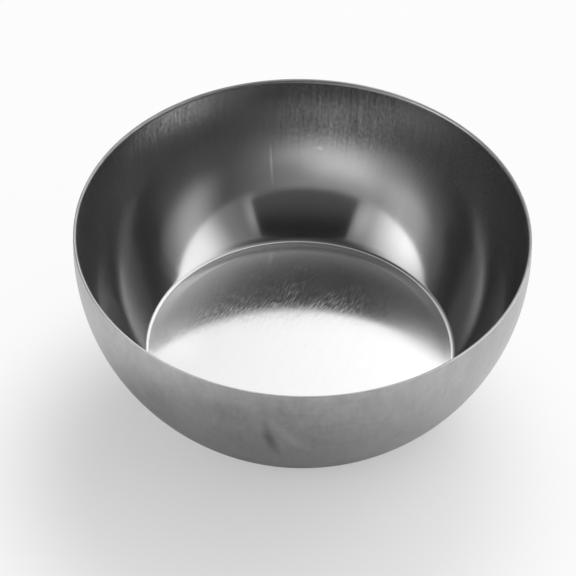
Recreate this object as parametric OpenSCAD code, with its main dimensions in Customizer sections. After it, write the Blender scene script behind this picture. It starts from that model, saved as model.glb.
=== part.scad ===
// Prep bowl, drawn in one piece from a round blank of stainless sheet.
// The bowl stands on the origin with its axis along Z. All lengths are in millimetres.

/* [Bowl] */
// Widest outside diameter, just below the rim
bowl_d = 65; // [58:0.5:90]
// Height from the table to the top of the rim
bowl_h = 25; // [20:0.5:40]
// Height at which the wall stands upright, above which it leans in to the rim
upright_z = 22.5; // [18:0.1:40]
// Diameter of the flat floor, up to the start of the bend
floor_d = 44.2; // [30:0.2:50]
// Inside radius of the bend between floor and wall
bend_r = 1.4; // [0.8:0.1:3]

/* [Sheet] */
// Thickness of the sheet
sheet_t = 0.5; // [0.4:0.05:0.8]
// Radius on both edges of the trimmed rim
rim_edge_r = 0.15; // [0.05:0.01:0.18]

/* [Hidden] */
$fn = 180;

// How far the cutting shapes reach past the rim
overrun = 1;

bowl_r = bowl_d / 2;
floor_r = floor_d / 2;
bend_out_r = bend_r + sheet_t;

// The wall's outside is one arc, tangent to the bend and upright at upright_z. Its radius
// is kept to a thousandth, so that it is the same number wherever it is used.
thousandth_share = 0.001;
reach = bowl_r - floor_r;
rise = upright_z - bend_out_r;
fitted_r = (reach * reach + rise * rise - bend_out_r * bend_out_r) / (2 * (reach - bend_out_r));
wall_r = thousandth_share * round(fitted_r / thousandth_share);

// Centres of the bend's arc and the wall's arc, and the slope at which one runs into the other
bend_c = [floor_r, bend_out_r];
wall_cx = bowl_r - wall_r;
wall_c = [wall_cx, bend_out_r + leg(wall_r - bend_out_r, floor_r - wall_cx)];
bend_angle = acos((wall_c[1] - bend_c[1]) / norm(wall_c - bend_c));

// Other side of a right-angled triangle
function leg(long_side, side) = sqrt(long_side * long_side - side * side);

function whole(p) = [for (v = p) round(v)];

// Moves a shape to p, by whole millimetres and then by the rest, so that arcs that are
// tangent still meet after the numbers are rounded.
module at(p) {
    translate(whole(p))
        translate(p - whole(p))
            children();
}

// Rectangle drawn by its corners, so that neighbours share the same edge
module box_between(low, high) {
    polygon([low, [high[0], low[1]], high, [low[0], high[1]]]);
}

// Half of the bowl's filled section up to top_z: its outside, or its inside when inset by
// the sheet. Core over the flat floor, then the bend, then the wall.
module filled_section(inset, top_z) {
    bend_z = bend_c[1] - (bend_out_r - inset) * cos(bend_angle);
    box_between([0, inset], [floor_r, top_z]);
    intersection() {
        at(bend_c)
            circle(bend_out_r - inset);
        box_between([floor_r, inset], [bowl_d, bend_z]);
    }
    intersection() {
        at(wall_c)
            circle(wall_r - inset);
        box_between([floor_r, bend_z], [bowl_d, top_z]);
    }
}

// Cuts one sharp edge of the rim back to a radius. The arc runs into the wall's surface,
// which has radius surface_r there; side is 1 for the outer edge and -1 for the inner.
module rim_edge_cut(surface_r, side) {
    from_wall_c = surface_r - side * rim_edge_r;
    rise_to_edge = bowl_h - rim_edge_r - wall_c[1];
    edge_c = wall_c + [leg(from_wall_c, rise_to_edge), rise_to_edge];
    tangent_z = edge_c[1] + side * rim_edge_r * rise_to_edge / from_wall_c;
    difference() {
        box_between([min(edge_c[0], edge_c[0] + side * sheet_t), tangent_z],
                    [max(edge_c[0], edge_c[0] + side * sheet_t), bowl_h + overrun]);
        at(edge_c)
            circle(rim_edge_r);
    }
}

module sheet_section() {
    difference() {
        filled_section(0, bowl_h);
        filled_section(sheet_t, bowl_h + overrun);
        rim_edge_cut(wall_r, 1);
        rim_edge_cut(wall_r - sheet_t, -1);
    }
}

module bowl() {
    color("silver")
        rotate_extrude()
            sheet_section();
}

bowl();
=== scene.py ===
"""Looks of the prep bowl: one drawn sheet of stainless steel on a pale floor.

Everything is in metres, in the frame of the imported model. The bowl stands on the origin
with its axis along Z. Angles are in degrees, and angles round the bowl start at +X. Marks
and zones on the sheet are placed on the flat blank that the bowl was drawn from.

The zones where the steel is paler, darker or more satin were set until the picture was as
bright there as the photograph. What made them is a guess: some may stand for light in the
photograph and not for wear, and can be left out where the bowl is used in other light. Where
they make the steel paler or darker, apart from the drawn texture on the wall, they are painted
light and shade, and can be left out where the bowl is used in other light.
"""

import math

import bpy
from mathutils import Matrix, Vector


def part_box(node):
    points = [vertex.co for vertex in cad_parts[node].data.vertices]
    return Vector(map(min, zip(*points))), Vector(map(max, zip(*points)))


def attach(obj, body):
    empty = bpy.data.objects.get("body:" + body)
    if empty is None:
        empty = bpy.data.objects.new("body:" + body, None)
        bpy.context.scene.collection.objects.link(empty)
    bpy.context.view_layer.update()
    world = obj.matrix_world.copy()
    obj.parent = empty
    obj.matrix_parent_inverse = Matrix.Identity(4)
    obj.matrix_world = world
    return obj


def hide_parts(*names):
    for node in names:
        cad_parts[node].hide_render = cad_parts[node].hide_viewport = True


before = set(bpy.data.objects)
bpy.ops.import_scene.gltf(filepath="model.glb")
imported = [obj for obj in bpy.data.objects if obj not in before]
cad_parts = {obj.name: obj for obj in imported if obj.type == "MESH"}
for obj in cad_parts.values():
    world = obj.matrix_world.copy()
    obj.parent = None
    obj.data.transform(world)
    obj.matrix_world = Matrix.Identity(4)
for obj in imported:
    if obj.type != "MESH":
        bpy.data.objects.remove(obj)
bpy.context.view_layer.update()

MM = 0.001
MICRON = 1e-6
low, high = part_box("bowl")

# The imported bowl's driving dimensions
BOWL_R = (high.x - low.x) / 2
BOWL_H = high.z
UPRIGHT_Z = 22.5 * MM
FLOOR_R = 22.1 * MM
BEND_R = 1.4 * MM
SHEET_T = 0.5 * MM

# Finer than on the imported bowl: the punch leaves the bend sharper inside, and trimming leaves
# the rim nearly sharp outside and rounded over inside.
BEND_IN_R = 0.9 * MM
RIM_OUT_R = 0.08 * MM
RIM_IN_R = 0.4 * MM

# The bowl's section

BEND_OUT_R = BEND_R + SHEET_T
REACH = BOWL_R - FLOOR_R
RISE = UPRIGHT_Z - BEND_OUT_R
WALL_R = (REACH**2 + RISE**2 - BEND_OUT_R**2) / (2 * (REACH - BEND_OUT_R))
WALL_C = Vector((BOWL_R - WALL_R, UPRIGHT_Z))
BEND_C = Vector((FLOOR_R, BEND_OUT_R))
SEAM_ANGLE = math.atan2(BEND_C.y - WALL_C.y, BEND_C.x - WALL_C.x)
WALL_IN_R = WALL_R - SHEET_T
BEND_IN_Z = SHEET_T + BEND_IN_R
FLOOR_IN_R = WALL_C.x + math.sqrt((WALL_IN_R - BEND_IN_R)**2 - (WALL_C.y - BEND_IN_Z)**2)
BEND_IN_C = Vector((FLOOR_IN_R, BEND_IN_Z))
SEAM_IN_ANGLE = math.atan2(BEND_IN_C.y - WALL_C.y, BEND_IN_C.x - WALL_C.x)
# How long the bend is along the sheet, and where the wall starts on the flat blank
BEND_LENGTH = BEND_IN_R * (SEAM_IN_ANGLE + math.pi / 2)
WALL_BLANK_R = FLOOR_IN_R + BEND_LENGTH


def arc(centre, radius, start, end, steps):
    """Points of an arc in the section, from angle start to angle end in radians."""
    turn = (end - start) / steps
    return [
        centre + radius * Vector((math.cos(start + turn * i), math.sin(start + turn * i)))
        for i in range(steps + 1)
    ]


def rim_edge(surface_r, side, edge_r):
    """Centre of the rounded rim edge, and the angle at which it leaves the wall."""
    from_wall_c = surface_r - side * edge_r
    up = BOWL_H - edge_r - WALL_C.y
    centre = WALL_C + Vector((math.sqrt(from_wall_c**2 - up**2), up))
    return centre, math.atan2(up, centre.x - WALL_C.x)


# Mesh

SEGMENTS = 288
FLOOR_RINGS = 24
BEND_STEPS = 10
WALL_STEPS = 56
EDGE_STEPS = 10
# Points closer than this are one point
TINY = 0.1 * MICRON


def section():
    """Rows of (point, part) from the axis underneath, round the rim, to the axis inside."""
    outer_edge, outer_angle = rim_edge(WALL_R, 1, RIM_OUT_R)
    inner_edge, inner_angle = rim_edge(WALL_IN_R, -1, RIM_IN_R)
    shares = [i / FLOOR_RINGS for i in range(FLOOR_RINGS)]
    down, up = -math.pi / 2, math.pi / 2
    runs = [
        ("under", [Vector((FLOOR_R * share, 0)) for share in shares]),
        ("outside", arc(BEND_C, BEND_OUT_R, down, SEAM_ANGLE, BEND_STEPS)),
        ("outside", arc(WALL_C, WALL_R, SEAM_ANGLE, outer_angle, WALL_STEPS)),
        ("rim", arc(outer_edge, RIM_OUT_R, outer_angle, up, EDGE_STEPS)),
        ("rim", arc(inner_edge, RIM_IN_R, up, math.pi + inner_angle, EDGE_STEPS)),
        ("wall", arc(WALL_C, WALL_IN_R, inner_angle, SEAM_IN_ANGLE, WALL_STEPS)),
        ("bend", arc(BEND_IN_C, BEND_IN_R, SEAM_IN_ANGLE, down, BEND_STEPS)),
        ("floor", [Vector((FLOOR_IN_R * share, SHEET_T)) for share in reversed(shares)]),
    ]
    rows = []
    for part, run in runs:
        for point in run:
            if not rows or (point - rows[-1][0]).length > TINY:
                rows.append((point, part))
    return rows


def blank_radii(rows):
    """Distance of each row from the middle of the flat blank, along the sheet."""
    top = max(range(len(rows)), key=lambda i: rows[i][0].y)
    under, inside = [0.0], [0.0]
    for i in range(1, top + 1):
        under.append(under[-1] + (rows[i][0] - rows[i - 1][0]).length)
    for i in range(len(rows) - 2, top, -1):
        inside.append(inside[-1] + (rows[i][0] - rows[i + 1][0]).length)
    return under + inside[::-1]


def put(name, data):
    """A new object in the scene."""
    obj = bpy.data.objects.new(name, data)
    bpy.context.scene.collection.objects.link(obj)
    return obj


def make_bowl(name, slots):
    """The sheet as one closed mesh, which keeps each point's place on the blank as an attribute."""
    rows = section()
    turns = [2 * math.pi * s / SEGMENTS for s in range(SEGMENTS)]
    circle = [(math.cos(turn), math.sin(turn)) for turn in turns]
    verts, places, first = [], [], []
    for (point, _), radius in zip(rows, blank_radii(rows)):
        first.append(len(verts))
        for c, s in circle if point.x > TINY else [(0, 0)]:
            verts.append((point.x * c, point.x * s, point.y))
            places += (radius * c, radius * s, 0)
    faces, kinds = [], []
    parts = list(slots)
    for i in range(len(rows) - 1):
        a, b = first[i], first[i + 1]
        for s in range(SEGMENTS):
            t = (s + 1) % SEGMENTS
            if rows[i][0].x < TINY:
                faces.append((a, b + t, b + s))
            elif rows[i + 1][0].x < TINY:
                faces.append((a + s, a + t, b))
            else:
                faces.append((a + s, a + t, b + t, b + s))
            kinds.append(parts.index(rows[i + 1][1]))
    mesh = bpy.data.meshes.new(name)
    mesh.from_pydata(verts, [], faces)
    for part in parts:
        mesh.materials.append(slots[part])
    mesh.polygons.foreach_set("material_index", kinds)
    mesh.polygons.foreach_set("use_smooth", [True] * len(faces))
    blank = mesh.attributes.new("blank", "FLOAT_VECTOR", "POINT")
    blank.data.foreach_set("vector", places)
    mesh.update()
    return put(name, mesh)


# Materials

METALLIC = 0.94
# Most values of a noise lie in this span
NOISE_SPAN = (0.3, 0.7)


def grey_colour(level):
    return (level, level, level, 1)


class Nodes:
    """Short calls for building a node tree."""

    def __init__(self, owner):
        owner.use_nodes = True
        self.owner = owner
        self.tree = owner.node_tree
        self.tree.nodes.clear()

    def add(self, kind, inputs=None, **settings):
        node = self.tree.nodes.new(kind)
        for key, value in settings.items():
            setattr(node, key, value)
        for key, value in (inputs or {}).items():
            if isinstance(value, bpy.types.NodeSocket):
                self.tree.links.new(value, node.inputs[key])
            else:
                node.inputs[key].default_value = value
        return node

    def math(self, operation, *values):
        return self.add("ShaderNodeMath", dict(enumerate(values)), operation=operation).outputs[0]

    def less(self, a, b):
        return self.math("SUBTRACT", a, b)

    def times(self, a, b):
        return self.math("MULTIPLY", a, b)

    def larger(self, a, b):
        return self.math("MAXIMUM", a, b)

    def plus(self, value, *parts):
        """The value plus each pattern times its depth."""
        for pattern, depth in parts:
            value = self.math("MULTIPLY_ADD", pattern, depth, value)
        return value

    def varied(self, value, *parts):
        """The value, made higher and lower by each pattern times its depth."""
        return self.plus(value, *((self.less(pattern, 0.5), depth) for pattern, depth in parts))

    def at_least(self, pattern, least):
        """The pattern, raised to run from the least value to 1."""
        return self.plus(least, (pattern, 1 - least))

    def vector(self, operation, *values, output=0):
        node = self.add("ShaderNodeVectorMath", dict(enumerate(values)), operation=operation)
        return node.outputs[output]

    def dot(self, a, b):
        return self.vector("DOT_PRODUCT", a, b, output="Value")

    def length(self, a):
        return self.vector("LENGTH", a, output="Value")

    def join(self, x, y, z):
        return self.add("ShaderNodeCombineXYZ", {0: x, 1: y, 2: z}).outputs[0]

    def split(self, value):
        return self.add("ShaderNodeSeparateXYZ", {0: value}).outputs

    def noise(self, place, detail, distortion=0.0):
        values = {"Vector": place, "Scale": 1.0, "Detail": detail, "Distortion": distortion}
        return self.add("ShaderNodeTexNoise", values).outputs["Fac"]

    def ramp(self, value, span, to=(0.0, 1.0), kind="LINEAR"):
        """Runs from one value of the pair to the other while the input runs over the span."""
        values = {"Value": value, "From Min": span[0], "From Max": span[1]}
        values.update({"To Min": to[0], "To Max": to[1]})
        return self.add("ShaderNodeMapRange", values, interpolation_type=kind).outputs[0]

    def ease(self, value, span, to=(0.0, 1.0)):
        """The same with soft ends."""
        return self.ramp(value, span, to, "SMOOTHSTEP")

    def bump(self, *layers):
        """Surface direction bent by each (height, depth), one over the other."""
        below = None
        for height, depth in layers:
            values = {"Height": height, "Distance": depth}
            if below:
                values["Normal"] = below
            below = self.add("ShaderNodeBump", values).outputs[0]
        return below

    def grey(self, value):
        return self.add("ShaderNodeCombineColor", {0: value, 1: value, 2: value}).outputs[0]

    def glow(self, strength):
        return self.add("ShaderNodeEmission", {"Color": grey_colour(1), "Strength": strength}).outputs[0]

    def steel(self, level, roughness, normal):
        values = {"Metallic": METALLIC, "Base Color": self.grey(level)}
        values.update({"Roughness": roughness, "Normal": normal})
        return self.surface(self.add("ShaderNodeBsdfPrincipled", values).outputs[0])

    def surface(self, shader, kind="Material"):
        """Ends the tree with its output, and returns what the tree belongs to."""
        self.add(f"ShaderNodeOutput{kind}", {"Surface": shader})
        return self.owner


def material(name):
    return Nodes(bpy.data.materials.new(name))


class Sheet:
    """Patterns on the sheet, from each point's place on the flat blank.

    The detail is that of the noise, and the shift makes one pattern differ from another.
    """

    def __init__(self, nodes):
        self.n = nodes
        self.place = nodes.add("ShaderNodeAttribute", attribute_name="blank").outputs["Vector"]
        self.radius = nodes.length(self.place)
        self.way = nodes.vector("NORMALIZE", self.place)

    def grain(self, angle, along, across, detail, shift):
        """Fine lines in one direction over the blank."""
        c, s = math.cos(math.radians(angle)), math.sin(math.radians(angle))
        run = self.n.dot(self.place, (c / along, s / along, 0))
        side = self.n.dot(self.place, (-s / across, c / across, 0))
        return self.n.noise(self.n.join(run, side, shift), detail)

    def cloud(self, size, detail, shift, distortion=0.0):
        """Soft patches, the same size in every direction."""
        share = 1 / size
        place = self.n.vector("MULTIPLY", self.place, (share, share, share))
        return self.n.noise(self.n.vector("ADD", place, (0, 0, shift)), detail, distortion)

    def round_and_up(self, round_size, up_size, detail, shift):
        """Noise with one size round the bowl, measured at the rim, and one up the wall."""
        turns = BOWL_R / round_size
        way = self.n.vector("MULTIPLY", self.way, (turns, turns, 0))
        rise = self.n.join(0.0, 0.0, self.n.plus(shift, (self.radius, 1 / up_size)))
        return self.n.noise(self.n.vector("ADD", way, rise), detail)

    def drawn(self, across, along, detail, shift):
        """Lines that run up the wall, as the die draws them."""
        return self.round_and_up(across, along, detail, shift)

    def rings(self, across, along, detail, shift):
        """Lines that run round the bowl, as a polishing wheel leaves them."""
        return self.round_and_up(along, across, detail, shift)

    def mark(self, angle, radius, along, across, lean=0):
        """One soft spot, 1 in its middle. Along is its half length up the wall, turned by the lean."""
        a, b = math.radians(angle), math.radians(angle + lean)
        middle = Vector((math.cos(a), math.sin(a), 0)) * radius
        place = self.n.vector("SUBTRACT", self.place, middle)
        up = self.n.dot(place, (math.cos(b) / along, math.sin(b) / along, 0))
        side = self.n.dot(place, (-math.sin(b) / across, math.cos(b) / across, 0))
        return self.n.ease(self.n.length(self.n.join(up, side, 0.0)), (0.0, 1.0), (1.0, 0.0))

    def sector(self, middle, half_width):
        """Soft sector of the bowl, 1 in its middle."""
        a = math.radians(middle)
        facing = self.n.dot(self.way, (math.cos(a), math.sin(a), 0))
        return self.n.ease(facing, (math.cos(math.radians(half_width)), 1.0))

    def zone(self, radii, sector):
        """Beyond the radii, easing in between them, within a sector of (middle, half width)."""
        return self.n.times(self.sector(*sector), self.n.ease(self.radius, radii))


# Steel of the floor
FLOOR_LEVEL = 0.56
FLOOR_ROUGHNESS = 0.094
STROKE_ROUGHNESS = 0.135
RUBBED_ROUGHNESS = 0.09
DOME_R = 2.4
# The rolled grain of the sheet runs at this angle
GRAIN_ANGLE = 62
FINE_GRAIN = dict(angle=GRAIN_ANGLE, along=1.3 * MM, across=0.22 * MM, detail=3.0, shift=0.0)
BROAD_GRAIN = dict(angle=GRAIN_ANGLE, along=4 * MM, across=0.8 * MM, detail=2.0, shift=4.0)
STROKE_SPAN = (0.42, 0.66)
STROKE_PATCHES = dict(size=4 * MM, detail=2.0, shift=3.0)
STROKE_PATCH_SPAN = (0.35, 0.6)
STROKES_DEEPEST = dict(angle=104, radius=12 * MM, along=13 * MM, across=24 * MM)
SPECKS = dict(size=0.5 * MM, detail=1.0, shift=7.0)
SPECK_SPAN = (0.72, 0.77)
FLOOR_WAVE = dict(size=9 * MM, detail=1.0, shift=2.0)
BURNISHED_AND_PAINTED_LIGHT_RADII = (20.7 * MM, 21.1 * MM)
BURNISHED_AND_PAINTED_LIGHT_SECTOR = (90, 80)
RUBBED_AND_PAINTED_LIGHT_RADII = (12 * MM, 20 * MM)
RUBBED_AND_PAINTED_LIGHT_RIGHT_SECTOR = (20, 55)
PAINTED_LIGHT_LEFT_SECTOR = (158, 40)
# Least strength of the strokes, between the patches and away from where they are deepest, and
# the share of them that rubbing takes off
STROKE_PATCH_LEAST = 0.4
STROKE_LEAST = 0.25
RUBBED_OFF_SHARE = 0.4


def steel_floor(name):
    n = material(name)
    sheet = Sheet(n)
    fine = sheet.grain(**FINE_GRAIN)
    broad = sheet.grain(**BROAD_GRAIN)
    specks = n.ramp(sheet.cloud(**SPECKS), SPECK_SPAN)
    # Paler next to the bend at the back, which is painted light, and with fewer strokes there, taken as
    # burnished by the punch
    burnished_and_painted_light = sheet.zone(BURNISHED_AND_PAINTED_LIGHT_RADII, BURNISHED_AND_PAINTED_LIGHT_SECTOR)
    # More satin towards the right side, taken as rubbed, and paler there and on the left, which is
    # painted light
    right = sheet.zone(RUBBED_AND_PAINTED_LIGHT_RADII, RUBBED_AND_PAINTED_LIGHT_RIGHT_SECTOR)
    left = sheet.zone(RUBBED_AND_PAINTED_LIGHT_RADII, PAINTED_LIGHT_LEFT_SECTOR)
    # The strokes are deepest near the middle of the blank, a little towards the back
    patches = n.ramp(sheet.cloud(**STROKE_PATCHES), STROKE_PATCH_SPAN)
    strokes = n.times(n.ramp(fine, STROKE_SPAN), n.at_least(patches, STROKE_PATCH_LEAST))
    strokes = n.times(strokes, n.at_least(sheet.mark(**STROKES_DEEPEST), STROKE_LEAST))
    strokes = n.times(strokes, n.less(1.0, n.larger(burnished_and_painted_light, n.times(right, RUBBED_OFF_SHARE))))
    # The pressed floor is very slightly domed
    dome = n.times(n.dot(sheet.place, sheet.place), -1 / (2 * DOME_R))
    normal = n.bump((dome, 1.0), (sheet.cloud(**FLOOR_WAVE), 8 * MICRON), (broad, 1.6 * MICRON))
    level = n.varied(FLOOR_LEVEL, (fine, 0.02), (broad, 0.02))
    # Paler at the back edge and at the sides is painted light
    level = n.plus(level, (specks, -0.05), (burnished_and_painted_light, 0.34), (right, 0.11), (left, 0.1))
    roughness = n.plus(FLOOR_ROUGHNESS, (right, RUBBED_ROUGHNESS), (strokes, STROKE_ROUGHNESS))
    return n.steel(level, roughness, normal)


# Steel of the wall's inside
WALL_LEVEL = 0.5
WALL_ROUGHNESS = (0.10, 0.11)
HIGH_UP_ROUGHNESS = 0.15
WALL_LINES = dict(across=0.4 * MM, along=5 * MM, detail=2.0, shift=0.0)
WALL_BROAD_LINES = dict(across=1.6 * MM, along=14 * MM, detail=1.0, shift=3.0)
WALL_PEEL = dict(size=0.7 * MM, detail=2.0, shift=5.0)
WALL_PEEL_SPAN = (0.4, 0.6)
WALL_WAVE = dict(size=8 * MM, detail=1.0, shift=2.0)
HIGH_UP_RADII = (31 * MM, 45 * MM)
WORN_BACK_RADII = (37 * MM, 41 * MM)
WORN_BACK_SECTOR = (80, 23)
WORN_CORNER_RADII = (43.5 * MM, 46.5 * MM)
WORN_CORNER_SECTOR = (131, 19)
HIGH_UP_STRENGTH = 0.25
WORN_BACK_STRENGTH = 0.9
WORN_CORNER_STRENGTH = 1.275
PAINTED_SHADE_FOOT_RADII = (WALL_BLANK_R + 0.2 * MM, WALL_BLANK_R + 1.0 * MM)
PAINTED_SHADE_FOOT_SECTOR = (90, 38)
SHADE_SECTOR = (52, 34)
WALL_PALE_STREAK = dict(angle=99.8, radius=34.8 * MM, along=4.8 * MM, across=0.4 * MM)
WALL_FLECK = dict(angle=86, radius=37.4 * MM, along=0.5 * MM, across=1.2 * MM)


def steel_wall(name):
    n = material(name)
    sheet = Sheet(n)
    lines = sheet.drawn(**WALL_LINES)
    broad = sheet.drawn(**WALL_BROAD_LINES)
    peel = sheet.cloud(**WALL_PEEL)
    # The drawn texture is strongest where the sheet was stretched most, towards the rim, and
    # stronger still in two places at the back
    high_up = n.ease(sheet.radius, HIGH_UP_RADII)
    back = sheet.zone(WORN_BACK_RADII, WORN_BACK_SECTOR)
    corner = sheet.zone(WORN_CORNER_RADII, WORN_CORNER_SECTOR)
    strength = n.times(high_up, HIGH_UP_STRENGTH)
    strength = n.plus(strength, (back, WORN_BACK_STRENGTH), (corner, WORN_CORNER_STRENGTH))
    line_marks = n.times(n.less(lines, 0.5), strength)
    peel_marks = n.times(n.less(peel, 0.5), strength)
    # Painted shade: the sheet is darker just above the bend at the back, and towards the rim behind on
    # the right
    painted_shade_foot = n.times(n.ease(sheet.radius, PAINTED_SHADE_FOOT_RADII, (1.0, 0.0)), sheet.sector(*PAINTED_SHADE_FOOT_SECTOR))
    shade = n.times(high_up, sheet.sector(*SHADE_SECTOR))
    # A paler streak up the wall at the back
    pale_streak = sheet.mark(**WALL_PALE_STREAK)
    fleck = n.times(sheet.mark(**WALL_FLECK), n.ramp(peel, WALL_PEEL_SPAN))
    normal = n.bump(
        (sheet.cloud(**WALL_WAVE), 9 * MICRON),
        (broad, 1 * MICRON),
        (line_marks, 10 * MICRON),
        (peel_marks, 10 * MICRON),
    )
    level = n.varied(WALL_LEVEL, (lines, 0.03), (broad, 0.02))
    # Darker towards the rim, which is painted shade, and paler along the drawn marks and in the corner
    level = n.plus(level, (high_up, -0.08), (line_marks, 0.34), (peel_marks, 0.36), (corner, 0.12))
    level = n.plus(level, (painted_shade_foot, -0.28), (shade, -0.07), (pale_streak, 0.26), (fleck, 0.16))
    roughness = n.plus(n.ramp(broad, NOISE_SPAN, WALL_ROUGHNESS), (high_up, HIGH_UP_ROUGHNESS))
    return n.steel(level, roughness, normal)


# Steel of the bend's inside
BEND_LEVEL = 0.66
BEND_ROUGHNESS = (0.08, 0.11)
BEND_SIDE_ROUGHNESS = 0.15
BEND_LINES = dict(across=0.5 * MM, along=2 * MM, detail=2.0, shift=0.0)
BEND_RINGS = dict(across=0.25 * MM, along=12 * MM, detail=2.0, shift=0.0)
BEND_LEFT_SECTOR = (165, 50)
BEND_RIGHT_SECTOR = (2, 58)
BEND_PAINTED_SHADE_RADII = (FLOOR_IN_R + 0.3 * BEND_LENGTH, FLOOR_IN_R + 0.65 * BEND_LENGTH)
BEND_PAINTED_SHADE_SECTOR = (75, 60)


def steel_bend(name):
    n = material(name)
    sheet = Sheet(n)
    lines = sheet.drawn(**BEND_LINES)
    rings = sheet.rings(**BEND_RINGS)
    # More satin at the sides, taken as the punch's work. Its paler right side, darker left side and
    # darker upper part at the back are painted light and shade
    left = sheet.sector(*BEND_LEFT_SECTOR)
    right = sheet.sector(*BEND_RIGHT_SECTOR)
    painted_shade_upper = sheet.zone(BEND_PAINTED_SHADE_RADII, BEND_PAINTED_SHADE_SECTOR)
    normal = n.bump((lines, 1.5 * MICRON), (rings, 1.5 * MICRON))
    level = n.varied(BEND_LEVEL, (lines, 0.05), (rings, 0.05))
    # Paler on the right and darker on the left and in the upper part: painted light and shade
    level = n.plus(level, (right, 0.16), (left, -0.12), (painted_shade_upper, -0.34))
    roughness = n.ramp(rings, NOISE_SPAN, BEND_ROUGHNESS)
    roughness = n.plus(roughness, (n.larger(left, right), BEND_SIDE_ROUGHNESS))
    return n.steel(level, roughness, normal)


# Steel of the filed rim
RIM_LEVEL = 0.56
RIM_ROUGHNESS = (0.3, 0.38)
RIM_FILE_MARKS = dict(across=0.25 * MM, along=1 * MM, detail=3.0, shift=0.0)
RIM_RINGS = dict(across=0.15 * MM, along=2.5 * MM, detail=2.0, shift=0.0)
RIM_SHADE_LEFT_SECTOR = (150, 80)
RIM_SHADE_RIGHT_SECTOR = (18, 45)


def steel_rim(name):
    n = material(name)
    sheet = Sheet(n)
    file_marks = sheet.drawn(**RIM_FILE_MARKS)
    rings = sheet.rings(**RIM_RINGS)
    normal = n.bump((file_marks, 3 * MICRON), (rings, 4 * MICRON))
    # Painted shade: darker on the left and a little on the right
    rim_painted_shade = n.larger(sheet.sector(*RIM_SHADE_LEFT_SECTOR), n.times(sheet.sector(*RIM_SHADE_RIGHT_SECTOR), 0.4))
    level = n.varied(RIM_LEVEL, (file_marks, 0.08), (rings, 0.3))
    level = n.plus(level, (rim_painted_shade, -0.33))
    return n.steel(level, n.ramp(rings, NOISE_SPAN, RIM_ROUGHNESS), normal)


# Satin steel of the outside
OUTSIDE_LEVEL = 0.39
OUTSIDE_ROUGHNESS = (0.29, 0.37)
OUTSIDE_RINGS = dict(across=0.12 * MM, along=5 * MM, detail=3.0, shift=0.0)
OUTSIDE_LINES = dict(across=0.6 * MM, along=6 * MM, detail=3.0, shift=2.0)
OUTSIDE_CLOUD = dict(size=5 * MM, detail=3.0, shift=6.0, distortion=0.6)
OUTSIDE_SMALL_CLOUD = dict(size=1.4 * MM, detail=3.0, shift=1.0)
OUTSIDE_WAVE = dict(size=9 * MM, detail=1.0, shift=8.0)
DENT_PAINTED_SHADE = dict(angle=-96.6, radius=40.2 * MM, along=5.6 * MM, across=1.5 * MM, lean=-14)
DENT_PAINTED_HIGHLIGHT = dict(angle=-91.6, radius=41.2 * MM, along=8.0 * MM, across=1.6 * MM, lean=-45)
OUTSIDE_PAINTED_SHADE_SECTOR = (-92, 30)
OUTSIDE_PAINTED_LIGHT_RIGHT_SECTOR = (-30, 60)
OUTSIDE_PAINTED_LIGHT_LEFT_SECTOR = (-132, 33)


def steel_outside(name):
    n = material(name)
    sheet = Sheet(n)
    rings = sheet.rings(**OUTSIDE_RINGS)
    lines = sheet.drawn(**OUTSIDE_LINES)
    cloud = sheet.cloud(**OUTSIDE_CLOUD)
    small = sheet.cloud(**OUTSIDE_SMALL_CLOUD)
    wave = sheet.cloud(**OUTSIDE_WAVE)
    normal = n.bump((wave, 25 * MICRON), (lines, 5 * MICRON), (rings, 2 * MICRON))
    level = n.varied(OUTSIDE_LEVEL, (cloud, 0.16), (small, 0.1), (lines, 0.06), (rings, 0.07))
    level = n.plus(
        level,
        # Painted shade and highlight of a small dent in front, which is not in the mesh: a dark hollow
        # and a light crease that runs down from it
        (sheet.mark(**DENT_PAINTED_SHADE), -0.17),
        (sheet.mark(**DENT_PAINTED_HIGHLIGHT), 0.08),
        # Painted shade and light: the front is darker and both sides of it are brighter
        (sheet.sector(*OUTSIDE_PAINTED_SHADE_SECTOR), -0.035),
        (sheet.sector(*OUTSIDE_PAINTED_LIGHT_RIGHT_SECTOR), 0.05),
        (sheet.sector(*OUTSIDE_PAINTED_LIGHT_LEFT_SECTOR), 0.055),
    )
    return n.steel(level, n.ramp(cloud, NOISE_SPAN, OUTSIDE_ROUGHNESS), normal)


# Steel of the underside, scuffed by tables
UNDER_ROUGHNESS = (0.29, 0.36)
UNDER_CLOUD = dict(size=7 * MM, detail=3.0, shift=3.0)
SCUFFS = dict(angle=130.755, along=3 * MM, across=0.12 * MM, detail=2.0, shift=5.0)
SCUFF_SPAN = (0.62, 0.72)
SCUFF_RADII = (15 * MM, 21.5 * MM)


def steel_under(name):
    n = material(name)
    sheet = Sheet(n)
    fine = sheet.grain(**FINE_GRAIN)
    cloud = sheet.cloud(**UNDER_CLOUD)
    scuffs = n.times(n.ramp(sheet.grain(**SCUFFS), SCUFF_SPAN), n.ramp(sheet.radius, SCUFF_RADII))
    normal = n.bump((fine, 4 * MICRON), (scuffs, 3 * MICRON))
    level = n.varied(WALL_LEVEL, (fine, 0.06), (cloud, 0.08), (scuffs, 0.05))
    roughness = n.plus(n.ramp(cloud, NOISE_SPAN, UNDER_ROUGHNESS), (scuffs, 0.1))
    return n.steel(level, roughness, normal)


bowl = make_bowl(
    "bowl_sheet",
    {
        "under": steel_under("steel_under"),
        "outside": steel_outside("steel_outside"),
        "rim": steel_rim("steel_rim"),
        "wall": steel_wall("steel_wall"),
        "bend": steel_bend("steel_bend"),
        "floor": steel_floor("steel_floor"),
    },
)
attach(bowl, "root")
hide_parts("bowl")

# Camera, placed and aimed as the one that took the photograph

CAMERA_PLACE = Vector((0, -277.0, 291.1)) * MM
CAMERA_AIM = Vector((-1.93, 0.54, 12.5)) * MM
CAMERA_ROLL = math.radians(1.093)
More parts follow.
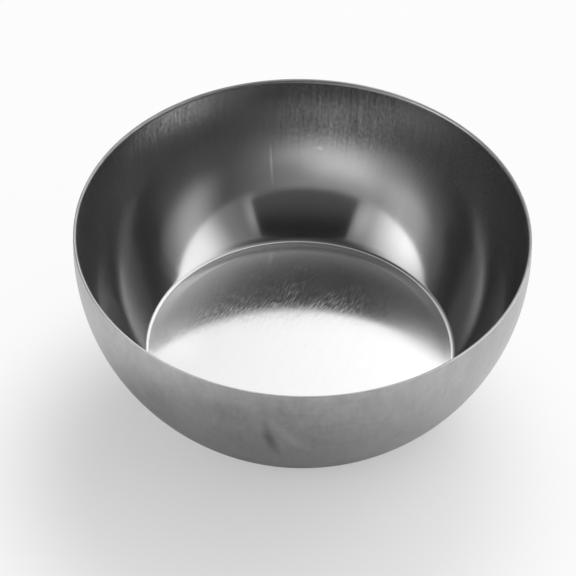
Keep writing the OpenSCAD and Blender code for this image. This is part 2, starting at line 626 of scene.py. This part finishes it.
# Lens and sensor in the camera's own millimetres
CAMERA_LENS = 169.77
CAMERA_SENSOR = 36
CAMERA_CLIP = (0.01, 20)


def make_camera():
    data = bpy.data.cameras.new("camera")
    data.lens = CAMERA_LENS
    data.sensor_width = CAMERA_SENSOR
    data.clip_start, data.clip_end = CAMERA_CLIP
    camera = put("camera", data)
    turn = (CAMERA_AIM - CAMERA_PLACE).to_track_quat("-Z", "Y").to_matrix().to_4x4()
    camera.matrix_world = Matrix.Translation(CAMERA_PLACE) @ turn @ Matrix.Rotation(CAMERA_ROLL, 4, "Z")
    bpy.context.scene.camera = camera


make_camera()

# Lamps

LAMP_AWAY = 1.2
# Name, azimuth, elevation, width and height as angles, level of light, and the share of each
# side over which the light falls off
LAMPS = (
    ("light_window", 36.0, 35.5, 82.0, 43.5, 1.59, 0.45),
    ("light_high", 35.0, 55.0, 71.0, 27.0, 0.74, 0.35),
    ("light_right", 101.0, 20.5, 58.0, 62.0, 1.12, 0.36),
    ("light_left", 248.5, 21.0, 68.0, 63.0, 1.96, 0.5),
    ("light_low", 180.0, 12.0, 50.0, 16.0, 0.25, 0.35),
    ("light_edge_right", 149.0, 29.0, 11.0, 34.0, 0.36, 0.5),
    ("light_edge_left", 215.5, 28.0, 15.0, 40.0, 0.4, 0.5),
    ("light_overhead", 50.0, 65.0, 110.0, 50.0, 0.35, 0.5),
    ("light_back", 344.0, 46.8, 40.0, 40.0, 0.4, 0.5),
)


def direction(azimuth, elevation):
    """Unit vector from the bowl. An azimuth of 0 is +Y, behind the bowl, and 90 is +X."""
    a, e = math.radians(azimuth), math.radians(elevation)
    return Vector((math.sin(a) * math.cos(e), math.cos(a) * math.cos(e), math.sin(e)))


def spread(distance, angle):
    """How far off the line ahead something lies that is seen at an angle and at a distance."""
    return distance * math.tan(math.radians(angle))


def make_lamp(name, azimuth, elevation, width, height, level, feather):
    """Soft rectangular lamp that faces the bowl, and that the camera doesn't see."""
    data = bpy.data.lights.new(name, "AREA")
    data.shape = "RECTANGLE"
    data.size = 2 * spread(LAMP_AWAY, width / 2)
    data.size_y = 2 * spread(LAMP_AWAY, height / 2)
    data.energy = level * math.pi * data.size * data.size_y
    lamp = put(name, data)
    away = direction(azimuth, elevation)
    lamp.location = away * LAMP_AWAY
    lamp.rotation_mode = "QUATERNION"
    lamp.rotation_quaternion = (-away).to_track_quat("-Z", "Y")
    lamp.visible_camera = False
    n = Nodes(data)
    across = n.split(n.add("ShaderNodeNewGeometry").outputs["Parametric"])
    falls = []
    for share in (across[0], across[1]):
        to_edge = n.less(0.5, n.math("ABSOLUTE", n.less(share, 0.5)))
        falls.append(n.ease(to_edge, (0.0, feather)))
    n.surface(n.glow(n.times(*falls)), "Light")


for lamp_values in LAMPS:
    make_lamp(*lamp_values)

# Floor and card

# The card stands upright behind the camera's side. Its lower edge sags in the middle, and it
# is a little lighter there from the light of the floor. Angles are seen from the bowl.
CARD_AWAY = 0.45
CARD_AZIMUTH = 180.6
CARD_HALF_WIDTH = 30.6
CARD_LOW_MIDDLE = 20.6
CARD_LOW_CORNERS = (22.0, 21.3)
CARD_TOP = 47.2
CARD_STEPS = 16
CARD_LEVELS = (0.12, 0.02)
CARD_LEVEL_ANGLES = (22, 42)

FLOOR_HALF = 4.0
FLOOR_PAINT = 0.92
# The floor glows less where the bowl's shadow falls, in front of it
SHADOW_MIDDLE = (-4 * MM, -26 * MM, 0)
GLOW_RADII = (24 * MM, 49 * MM)
GLOW_LEVEL = 0.9
GLOW_IN_SHADOW = 0.4


def stage_mesh(name, points, faces, paint):
    mesh = bpy.data.meshes.new(name)
    mesh.from_pydata(points, [], faces)
    mesh.materials.append(paint)
    obj = put(name, mesh)
    return obj


def floor_paint(name):
    """Matt paint whose glow is seen by the camera and in reflections, and lights nothing."""
    n = material(name)
    path = n.add("ShaderNodeLightPath").outputs
    seen = n.larger(path["Is Camera Ray"], path["Is Glossy Ray"])
    seen = n.larger(seen, path["Is Transmission Ray"])
    place = n.vector("SUBTRACT", n.add("ShaderNodeTexCoord").outputs["Object"], SHADOW_MIDDLE)
    # Only the camera sees the glow in the shadow
    near = n.times(path["Is Camera Ray"], GLOW_IN_SHADOW)
    away = n.ease(n.length(place), GLOW_RADII)
    share = n.plus(near, (away, n.less(GLOW_LEVEL, near)))
    paint = n.add("ShaderNodeBsdfDiffuse", {"Color": grey_colour(FLOOR_PAINT)}).outputs[0]
    values = {0: n.times(seen, share), 1: paint, 2: n.glow(1.0)}
    return n.surface(n.add("ShaderNodeMixShader", values).outputs[0])


def card_paint(name):
    n = material(name)
    height = n.split(n.add("ShaderNodeTexCoord").outputs["Object"])[2]
    heights = [spread(CARD_AWAY, angle) for angle in CARD_LEVEL_ANGLES]
    return n.surface(n.glow(n.ease(height, heights, CARD_LEVELS)))


def make_card(name, paint):
    side = spread(CARD_AWAY, CARD_HALF_WIDTH)
    middle = spread(CARD_AWAY, CARD_LOW_MIDDLE)
    corners = [spread(math.hypot(CARD_AWAY, side), low) for low in CARD_LOW_CORNERS]
    out = direction(CARD_AZIMUTH, 0)
    along = Vector((out.y, -out.x, 0))
    points = []
    for i in range(CARD_STEPS + 1):
        share = 2 * i / CARD_STEPS - 1
        sag = middle + (corners[share > 0] - middle) * share**2
        for z in (sag, spread(CARD_AWAY, CARD_TOP)):
            points.append(out * CARD_AWAY + along * side * share + Vector((0, 0, z)))
    faces = [(2 * i, 2 * i + 2, 2 * i + 3, 2 * i + 1) for i in range(CARD_STEPS)]
    card = stage_mesh(name, points, faces, paint)
    card.visible_camera = False


make_card("card_dark", card_paint("card_black"))
floor_corners = [(x * FLOOR_HALF, y * FLOOR_HALF, 0) for x, y in ((-1, -1), (1, -1), (1, 1), (-1, 1))]
stage_mesh("floor", floor_corners, [(0, 1, 2, 3)], floor_paint("floor_pale"))

# World: a graded studio, lighter behind and to the right, darkest on the camera's side

WORLD_LEVEL = 0.438
WORLD_LEAN = (0.463, 0.575, -0.042)
# Its least level, overhead and at the horizon, and the heights between which it changes
WORLD_LEAST = (0.17, 0.22)
WORLD_HEIGHTS = (0.64, 0.34)


def make_world(name):
    world = bpy.data.worlds.new(name)
    bpy.context.scene.world = world
    n = Nodes(world)
    way = n.add("ShaderNodeTexCoord").outputs["Generated"]
    least = n.ease(n.split(way)[2], WORLD_HEIGHTS, WORLD_LEAST)
    level = n.larger(n.math("ADD", n.dot(way, WORLD_LEAN), WORLD_LEVEL), least)
    light = n.add("ShaderNodeBackground", {"Color": n.grey(level), "Strength": 1.0}).outputs[0]
    n.surface(light, "World")


make_world("world")

bpy.context.scene.view_settings.view_transform = "Standard"

bpy.context.view_layer.update()
